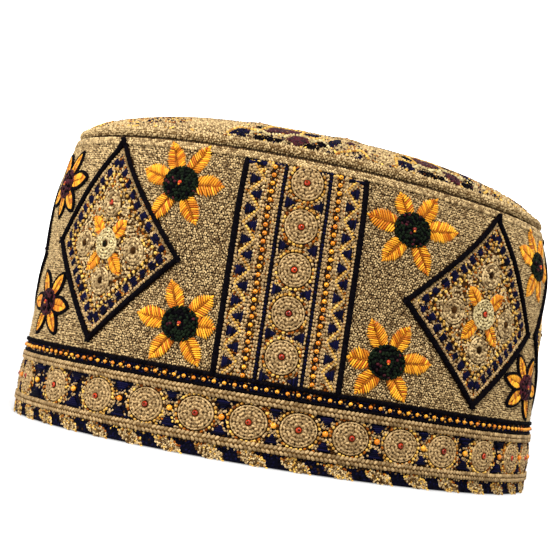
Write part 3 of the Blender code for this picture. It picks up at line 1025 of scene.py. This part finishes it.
def panel(name, angle):
    """A panel of medallions one over another, between its two patterned sides."""
    work = Embroidery(PanelChart(angle))
    low, high = BAND_TOP, PANEL_TOP
    a, b = np.meshgrid(np.linspace(-PANEL_HALF_WIDTH, PANEL_HALF_WIDTH, 33),
                       np.linspace(low - 0.5, high + 0.3, 41))
    work.sheet("umber", a, b, 0.12)

    a, b = scatter(-PANEL_HALF_WIDTH + 1.0, PANEL_HALF_WIDTH - 1.0, low, high, 0.84)
    middles = PANEL_FIRST_MEDALLION + PANEL_MEDALLION_PITCH * np.arange(PANEL_MEDALLIONS)
    to_hub = np.min([np.hypot(a, b - middle) for middle in middles], axis=0)
    to_line = np.min([np.abs(np.abs(a) - line) for line in (PANEL_INNER_LINE, PANEL_BEADS)], axis=0)
    clear = (to_hub >= PANEL_MEDALLION + 0.2) & (to_line >= 0.75)
    work.mixed_fill(a[clear], b[clear], (("sand", 0.52), ("gold", 0.09), ("rust", 0.11), ("navy", 0.07)),
                    size=0.92)
    for side in (-1.0, 1.0):
        panel_side(work, side)

    for middle in middles:
        medallion(work, 0.0, middle, PANEL_MEDALLION, "sand", "red_bead")
    for gap in middles - PANEL_MEDALLION_PITCH / 2.0:
        for side in (-1.0, 1.0):
            triangle_patch(work, side * 4.9, gap, 4.4, 3.2, 0.0 if side < 0.0 else math.pi, 0.55)
    for side in (-1.0, 1.0):
        seed_column(work, side * (PANEL_INNER_LINE - 1.15), "sand", 1.3, 1.4)
    a = np.linspace(-PANEL_HALF_WIDTH + 1.5, PANEL_HALF_WIDTH - 1.5, 34)
    work.mixed_fill(a, high - 0.3 + RNG.normal(0.0, 0.15, a.size),
                    (("navy", 0.6), ("gold", 0.2), ("sand", 0.2)), lift=0.6, size=1.3)
    for side in (-1.0, 1.0):
        work.knots("navy", side * np.linspace(14.8, 19.4, 5), high - 0.7, 0.1, 0.85, 0.62, 0.4, 0.6)
    work.build(name, "medallion_thread")


# Rim: its medallions' half sizes, the spacing of its beads and the leaves of its hem
RIM_MEDALLIONS = [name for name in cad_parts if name.startswith("rim_medallion")]
RIM_MEDALLION_SIZE = (6.0, 5.35)
RIM_TRIANGLES = ((17.0, -QUARTER_TURN), (9.2, QUARTER_TURN))
RIM_BEAD_PITCH = 3.35
HEM_LEAVES = 42
HEM_FIRST_LEAF = -2.9
HEM_LEAF_HEIGHT = 2.1
HEM_LEAF_TILT = -9.0


def rim_angles():
    """The places of the rim's medallions, from the frame."""
    middles = [np.add(*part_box(name)) / 2.0 for name in RIM_MEDALLIONS]
    return sorted(math.atan2(x, -y) for x, y, _ in middles)


def fleck_row(work, height, pitch, wander, mix, size):
    """A row of mixed grains right round the rim."""
    a = np.arange(-HALF_RIM, HALF_RIM, pitch)
    work.mixed_fill(a, height + RNG.normal(0.0, wander, a.size), mix, size=size)


def make_rim():
    """The band below the panels, with its medallions, beads and triangles, and the leaves of the hem."""
    band = Embroidery(WALL)
    a, b = np.meshgrid(np.linspace(-HALF_RIM, HALF_RIM, 241), (0.1, 3.0, 8.0, 15.0, 21.0, BAND_TOP))
    band.sheet("navy", a, b, 0.1, 0.05)
    for height, half_width in ((BAND_LINE, 0.66), (LOWER_LINE, 0.40)):
        band.cord("black", RIM_ENDS, height, half_width, 0.9, lift=0.1, step=2.0)
    band.rope("black", RIM_ENDS, BAND_LINE, pitch=1.3, half_width=0.74)
    count = int(RIM_LENGTH / RIM_BEAD_PITCH)
    beads(band, rim_spots(count, 0.5), BEAD_LINE + RNG.normal(0.0, 0.06, count), 0.69, 0.75)
    band.knots("sand", rim_spots(count, 1.0), BEAD_LINE + RNG.normal(0.0, 0.2, count), 0.0,
               0.32, 0.26, 0.30, 0.3, SPECK)
    fleck_row(band, UPPER_FLECKS, 1.1, 0.15,
              (("umber", 0.28), ("sand", 0.08), ("rust", 0.08), ("navy", 0.56)), 0.95)
    fleck_row(band, LOWER_FLECKS, 1.1, 0.15,
              (("navy", 0.62), ("gold", 0.10), ("umber", 0.16), ("sand", 0.06)), 0.95)

    angles = rim_angles()
    middles = np.array(angles) * WALL.spread
    a, b = scatter(-HALF_RIM, HALF_RIM, LOWER_BRAID + 1.2, UPPER_BRAID - 1.2, 0.95)
    offset = np.abs(round_rim(a[:, None] - middles)).min(axis=1)
    around = np.hypot(offset / 6.0, (b - MEDALLION_ROW) / 5.3)
    ring, outer = (around > 1.1) & (around < 1.42), around >= 1.42
    band.mixed_fill(a[ring], b[ring], (("sand", 0.40), ("gold", 0.14), ("umber", 0.14), ("rust", 0.10)),
                    lift=0.35)
    band.mixed_fill(a[outer], b[outer], (("navy", 0.35), ("umber", 0.10), ("sand", 0.08)), lift=0.25)
    fleck_row(band, HEM_ROW, 1.05, 0.2,
              (("navy", 0.34), ("gold", 0.20), ("sand", 0.26), ("umber", 0.20)), 0.9)

    medallions = Embroidery(WALL)
    half_a, half_b = RIM_MEDALLION_SIZE
    for angle, after in zip(angles, angles[1:] + [angles[0] + FULL_TURN]):
        medallion(medallions, angle * WALL.spread, MEDALLION_ROW, half_a, "sand", "red_bead", half_b)
        middle = (angle + after) / 2.0 * WALL.spread
        width = 4.4 + ((after - angle) * WALL.spread - 16.5) * 0.55
        for height, turn in RIM_TRIANGLES:
            triangle_patch(band, middle, height, width, 3.0, turn, 0.6)
        band.knots("amber_bead", middle, MEDALLION_ROW + 0.2, 0.0, 1.0, 1.0, 0.85, 0.9, BEAD)
        spread = np.array((-0.5, 0.5, 0.0, -0.5, 0.5, 0.0))
        heights = MEDALLION_ROW + 0.2 + np.array((1.7, 1.8, 2.4, -1.7, -1.8, -2.4))
        band.knots("sand", middle + spread, heights, 0.5, 0.5, 0.4, 0.36, 0.55)
    medallions.build("rim_medallions", "medallion_thread", RIM_MEDALLIONS)

    a, b = scatter(-HALF_RIM, HALF_RIM, 0.5, 4.0, 1.25, 0.3)
    band.mixed_fill(a, b, (("navy", 0.80), ("black", 0.15), ("umber", 0.05)), lift=0.2, size=1.05)
    for number in range(HEM_LEAVES):
        middle = degrees_along(HEM_FIRST_LEAF + 360.0 * number / HEM_LEAVES)
        leaf(band.turned(middle, HEM_LEAF_HEIGHT, math.radians(HEM_LEAF_TILT)))
    band.build("rim_band", "wall_cloth")


def leaf(work):
    """A slanting leaf of the hem: fine grains under a gold edge."""
    work.pad("umber", 0.0, 0.0, 4.5, 1.75, 0.25, 0.12, rings=3, sides=14)
    a, b = scatter(-5.0, 5.0, -2.2, 2.2, 0.72, 0.2)
    shape = (np.abs(a + 0.4 * b) / 4.9) ** 1.7 + (np.abs(b) / 2.05) ** 1.9
    edge = (shape > 0.60) & (shape < 1.0) & (b > 0.2)
    inner = (shape < 1.0) & ~edge
    work.mixed_fill(a[inner], b[inner], (("khaki", 0.60), ("gold", 0.13), ("bark", 0.27)), 0.42, 0.9)
    work.mixed_fill(a[edge], b[edge], (("gold", 0.46), ("rust", 0.32), ("khaki", 0.22)), 0.45)
    work.knots("gold", (4.6, 5.3), (-0.9, -1.4), 0.6, 0.5, 0.36, 0.34, 0.4)


def in_motif(a, b):
    """True where a panel, a diamond or a flower's heart covers the wall's ground."""
    covered = np.zeros(a.shape, dtype=bool)
    for _, angle in PANELS:
        covered |= PanelChart(angle).across(a, b) < PANEL_HALF_WIDTH + 0.9
    for corners in DIAMONDS:
        covered |= diamond_share(corners, a, b) < 1.0
    for angle, height, _, wide, tall, _ in FLOWERS:
        covered |= np.hypot((a - degrees_along(angle)) / wide, (b - height) / tall) < FLOWER_DISC
    return covered


def ground_knots(work, a, b, pitch):
    """Close grains of the ground, each slanting one way or the other."""
    slant = np.where(RNG.random(a.size) < 0.5, 0.75, -0.75) + RNG.normal(0.0, 0.25, a.size)
    work.knots("khaki", a, b, slant, 0.60 * pitch, 0.42 * pitch, 0.46,
               0.13 + RNG.uniform(-0.09, 0.09, a.size), GRAIN)


def make_wall_knots():
    """The knotted ground between the motifs."""
    for name, low, high in (("wall_knots_left", -HALF_RIM, 0.0), ("wall_knots_right", 0.0, HALF_RIM)):
        work = Embroidery(WALL)
        a, b = scatter(low, high, BAND_TOP + 0.1, SEAM_HEIGHT - 0.8, GROUND_PITCH)
        clear = ~in_motif(a, b)
        ground_knots(work, a[clear], b[clear], GROUND_PITCH)
        work.build(name, "wall_cloth")


# Crown: motifs in a ring, the first a little left of the front. The outlines of a motif's patches are in
# millimetres along the rim and towards the crown's middle, from the motif's own place.
CROWN_MOTIFS = 9
CROWN_FIRST_MOTIF = -7.0
CROWN_MOTIF_RADIUS = 76.0
CROWN_BORDER_RADIUS = 60.0
# Circles of dots on the crown, just inside its border, its medallions and its flowers: radius, look, pitch
BORDER_RINGS = ((62.0, "sand", 1.5), (60.7, "navy", 1.3))
MEDALLION_RINGS = ((37.9, "navy", 1.3), (36.7, "gold", 1.5))
FLOWER_RINGS = ((16.9, "gold", 1.5), (15.6, "navy", 1.3))
CROWN_MEDALLION_RADIUS = 44.5
CROWN_MEDALLION = 5.2
CROWN_FLOWERS = 8
CROWN_FLOWER_RADIUS = 28.0
CROWN_HUB = 5.6
MOTIF_PATCHES = (
    ("wine", ((-7.8, 0.6), (-6.7, 9.0), (3.2, 8.6), (2.2, 1.0))),
    ("wine", ((0.2, -4.2), (1.9, -0.4), (6.0, 0.2), (7.2, -3.6), (3.8, -7.2))),
    ("black", ((-11.4, -5.6), (-9.2, -3.9), (-1.2, -5.4), (-2.2, -7.3), (-9.0, -7.3))),
    ("black", ((5.8, -5.7), (7.6, -4.0), (10.9, -4.8), (11.0, -6.9), (7.4, -7.3))),
    ("black", ((9.5, -2.5), (11.4, 0.6), (13.4, -0.8), (11.6, -4.0))),
    ("navy", ((-18.6, -3.6), (-16.4, 0.4), (-12.4, -0.6), (-13.6, -5.2))),
    ("navy", ((12.8, 2.1), (15.8, 11.0), (16.4, 5.0), (14.6, -2.7))),
    ("navy", ((12.6, -6.6), (14.2, -4.9), (15.4, -6.6))),
    ("navy", ((23.0, -4.8), (24.8, -4.8), (24.2, 1.2))),
    ("navy", ((27.2, -5.4), (29.2, -4.2), (31.0, -5.6))),
    ("wine", ((17.6, 8.2), (19.2, 11.0), (21.0, 8.4), (19.2, 6.8))),
    ("black", ((-9.4, 1.4), (-8.6, 8.0), (-11.6, 6.4))),
    ("navy", ((4.4, 8.0), (9.6, 9.2), (9.0, 5.4), (5.0, 4.4))),
)
MOTIF_SEED_LINES = (
    ("cream", ((-12.0, -3.0), (-8.7, -0.4), (-6.4, -3.1), (-2.9, -1.5), (-0.9, -2.8), (0.6, 0.8), (4.8, 2.0),
               (8.4, -2.9), (10.2, 1.5), (14.0, -3.6))),
    ("gold", ((-9.6, 0.2), (-7.6, 10.2), (3.8, 9.8), (3.4, 2.6), (7.2, 1.2), (11.0, 3.0))),
    ("gold", ((-20.2, -4.6), (-16.8, 2.0), (-11.4, 0.2))),
    ("gold", ((16.4, -5.0), (19.6, -2.6), (23.8, 2.6), (28.0, -2.8), (31.4, -4.4))),
)


def from_front(work, angle, radius):
    """The crown's work from a place at an angle from the front, with b towards the crown's middle."""
    return work.turned(*in_plan(radius, angle), angle)


def inside_outline(corners, a, b):
    """True for places inside a many-sided outline."""
    inside = np.zeros(a.shape, dtype=bool)
    last_a, last_b = corners[-1]
    for corner_a, corner_b in corners:
        if corner_b != last_b:
            crossing = (corner_b > b) != (last_b > b)
            inside ^= crossing & (a < (last_a - corner_a) * (b - corner_b) / (last_b - corner_b) + corner_a)
        last_a, last_b = corner_a, corner_b
    return inside


def on_crown(work, a, b):
    """True for places that don't lie past the crown's edge."""
    spots = work.chart.place(a, b, 0.0 * a)
    return np.hypot(spots[..., 0], spots[..., 1]) < CROWN_EDGE - 0.3


def knotted_patch(work, look, corners):
    """A patch of close knots inside an outline."""
    low_a, low_b = np.min(corners, axis=0) - 0.4
    high_a, high_b = np.max(corners, axis=0) + 0.4
    a, b = scatter(low_a, high_a, low_b, high_b, 0.95, 0.2)
    inside = inside_outline(corners, a, b) & on_crown(work, a, b)
    a, b = a[inside], b[inside]
    work.knots(look, a, b, RNG.normal(0.5, 0.3, a.size), 0.72, 0.50, 0.50, 0.36)


def crown_motif(work):
    for look, corners in MOTIF_PATCHES:
        knotted_patch(work, look, corners)
    for look, path in MOTIF_SEED_LINES:
        a, b = resample(*np.array(path).T, 1.15)
        kept = on_crown(work, a, b)
        angle = RNG.uniform(0.0, math.pi, np.count_nonzero(kept))
        work.knots(look, a[kept], b[kept], angle, 0.56, 0.42, 0.48, 0.62)
    a, b = scatter(-18.0, 30.0, -6.5, 9.0, 1.9, 0.45)
    kept = on_crown(work, a, b)
    mix = (("gold", 0.20), ("navy", 0.30), ("rust", 0.12), ("cream", 0.16), ("black", 0.08), ("wine", 0.14))
    work.mixed_fill(a[kept], b[kept], mix, lift=0.5)


def crown_specks(work):
    """Loose specks and two small patches between two motifs."""
    for look, corners in MOTIF_PATCHES[8:10]:
        knotted_patch(work.turned(-24.0, 2.0), look, corners)
    a, b = scatter(-16.0, 16.0, -5.5, 8.5, 1.35, 0.5)
    kept = on_crown(work, a, b) & (np.hypot(a / 16.0, (b - 1.5) / 7.0) < 1.0) & (RNG.random(a.size) < 0.6)
    mix = (("gold", 0.28), ("navy", 0.34), ("rust", 0.12), ("sand", 0.14), ("wine", 0.12))
    work.mixed_fill(a[kept], b[kept], mix, lift=0.5)


def dotted_circles(work, rings):
    """Circles of dots round the crown's middle: radius, look and pitch."""
    for radius, look, pitch in rings:
        turn = even_turns(int(FULL_TURN * radius / pitch))
        work.knots(look, *in_plan(radius, turn), turn, 0.60, 0.46, 0.4, 0.42)


def make_crown():
    """The crown's border of motifs, its field of medallions and flowers, and the ground between them."""
    border = Embroidery(CROWN)
    for number in range(CROWN_MOTIFS):
        angle = math.radians(CROWN_FIRST_MOTIF + 360.0 * number / CROWN_MOTIFS)
        motif = crown_specks if number % 3 == 2 else crown_motif
        motif(from_front(border, angle, CROWN_MOTIF_RADIUS))
    turn = RNG.uniform(0.0, FULL_TURN, 150)
    border.mixed_fill(*in_plan(CROWN_EDGE - 0.4 + RNG.normal(0.0, 0.2, turn.size), turn),
                      (("gold", 0.7), ("rust", 0.15), ("navy", 0.15)), lift=0.5, size=1.2)
    dotted_circles(border, BORDER_RINGS)
    border.build("crown_border", "medallion_thread")

    field = Embroidery(CROWN)
    covered = [(0.0, 0.0, 6.0)]
    for number in range(CROWN_MOTIFS):
        angle = math.radians(CROWN_FIRST_MOTIF + 20.0 + 360.0 * number / CROWN_MOTIFS)
        hub = from_front(field, angle, CROWN_MEDALLION_RADIUS)
        medallion(hub, 0.0, 0.0, CROWN_MEDALLION, "sand", "red_bead")
        covered.append((*in_plan(CROWN_MEDALLION_RADIUS, angle), 5.4))
        between = from_front(field, angle + math.pi / CROWN_MOTIFS, 45.2)
        triangle_patch(between, 0.0, 2.4, 5.0, 3.6, -QUARTER_TURN, 0.45)
        triangle_patch(between, 0.0, -3.2, 5.6, 3.6, QUARTER_TURN, 0.45)
    dotted_circles(field, MEDALLION_RINGS)
    for number in range(CROWN_FLOWERS):
        angle = math.radians(22.5 + 45.0 * number)
        flower(from_front(field, angle, CROWN_FLOWER_RADIUS), SUN if number % 2 else WINE,
               (0, 60, 120, 180, 240, 300), disc=3.9, length=5.0, half_width=2.2)
        covered.append((*in_plan(CROWN_FLOWER_RADIUS, angle), 4.0))
    dotted_circles(field, FLOWER_RINGS)
    medallion(field, 0.0, 0.0, CROWN_HUB, "cream", "red_bead", lift=0.2)
    for number in range(8):
        petal(field, math.radians(45.0 * number), CROWN_HUB, 8.0, 2.1)
    field.build("crown_field", "medallion_thread")

    for name, low, high, pitch in (("crown_knots_outer", CROWN_BORDER_RADIUS, CROWN_EDGE, 0.90),
                                   ("crown_knots_inner", 0.0, CROWN_BORDER_RADIUS, 1.3)):
        work = Embroidery(CROWN)
        a, b = scatter(-high, high, -high, high, pitch)
        radius = np.hypot(a, b)
        clear = (radius >= low) & (radius < high)
        for x, y, reach in covered:
            clear &= np.hypot(a - x, b - y) > reach
        ground_knots(work, a[clear], b[clear], pitch)
        work.build(name, "crown_cloth")


def make_camera():
    yaw, pitch, roll = CAMERA_YAW, CAMERA_PITCH, CAMERA_ROLL
    right = Vector((math.cos(yaw), math.sin(yaw), 0.0))
    forward = Vector((-math.sin(yaw) * math.cos(pitch), math.cos(yaw) * math.cos(pitch), math.sin(pitch)))
    up = Vector((math.sin(yaw) * math.sin(pitch), -math.cos(yaw) * math.sin(pitch), math.cos(pitch)))
    across = math.cos(roll) * right + math.sin(roll) * up
    upward = math.cos(roll) * up - math.sin(roll) * right
    data = bpy.data.cameras.new("camera")
    data.sensor_width = SENSOR
    data.lens = FOCAL_SHARE * SENSOR
    data.clip_start = 0.02
    data.clip_end = 100.0
    camera = bpy.data.objects.new("camera", data)
    bpy.context.scene.collection.objects.link(camera)
    turn = Matrix((across, upward, -forward)).transposed().to_4x4()
    camera.matrix_world = Matrix.Translation(Vector(CAMERA_PLACE) * MM) @ turn
    bpy.context.scene.camera = camera


def make_stage():
    """A pale floor and a bright paper backdrop far behind it."""
    size = STAGE_HALF_SIZE
    floor = ((-size, -size, 0.0), (size, -size, 0.0), (size, size, 0.0), (-size, size, 0.0))
    backdrop = ((-size, size, -1.0), (size, size, -1.0), (size, size, size), (-size, size, size))
    white = (1.0, 1.0, 1.0, 1.0)
    for name, corners, glow, paper in (("floor", floor, 0.5, 0.33), ("backdrop", backdrop, 1.0, 0.85)):
        mesh = bpy.data.meshes.new(name)
        mesh.from_pydata(corners, [], [(0, 1, 2, 3)])
        look = Look(f"{name}_paper", 0.9, 0.0, Base_Color=(paper, paper, paper, 1.0), Emission_Color=white,
                    Emission_Strength=glow)
        mesh.materials.append(look.material)
        sheet = bpy.data.objects.new(name, mesh)
        sheet.location.z = -STAGE_DROP
        bpy.context.scene.collection.objects.link(sheet)


def make_lights():
    world = bpy.data.worlds.new("studio")
    world.use_nodes = True
    sky = world.node_tree.nodes["Background"]
    sky.inputs["Color"].default_value = (1.0, 1.0, 1.0, 1.0)
    sky.inputs["Strength"].default_value = 0.45
    bpy.context.scene.world = world
    for name, energy, spread, direction in (("key", 4.3, 12.0, (0.10, -0.50, 0.86)),
                                            ("side", 3.3, 30.0, (-0.94, -0.32, 0.12))):
        data = bpy.data.lights.new(name, "SUN")
        data.energy = energy
        data.angle = math.radians(spread)
        light = bpy.data.objects.new(name, data)
        light.rotation_euler = Vector(direction).to_track_quat("Z", "Y").to_euler()
        bpy.context.scene.collection.objects.link(light)
    bpy.context.scene.view_settings.view_transform = "Standard"


make_camera()
make_wall_ground()
make_crown_ground()
braid("upper_braid", UPPER_BRAID, BRAID_HALF_WIDTH, 2, 1.4)
braid("lower_braid", LOWER_BRAID, BRAID_HALF_WIDTH, 2, 1.4)
braid("seam_braid", SEAM_BRAID + 0.3, 1.05, 3, 1.0, "khaki", 0.6)
edge_cord()
make_rim()
for panel_name, panel_angle in PANELS:
    panel(panel_name, panel_angle)
for diamond_number, diamond_corners in enumerate(DIAMONDS, start=1):
    diamond(diamond_number, diamond_corners)
make_flowers()
make_wall_knots()
make_crown()
make_stage()
make_lights()
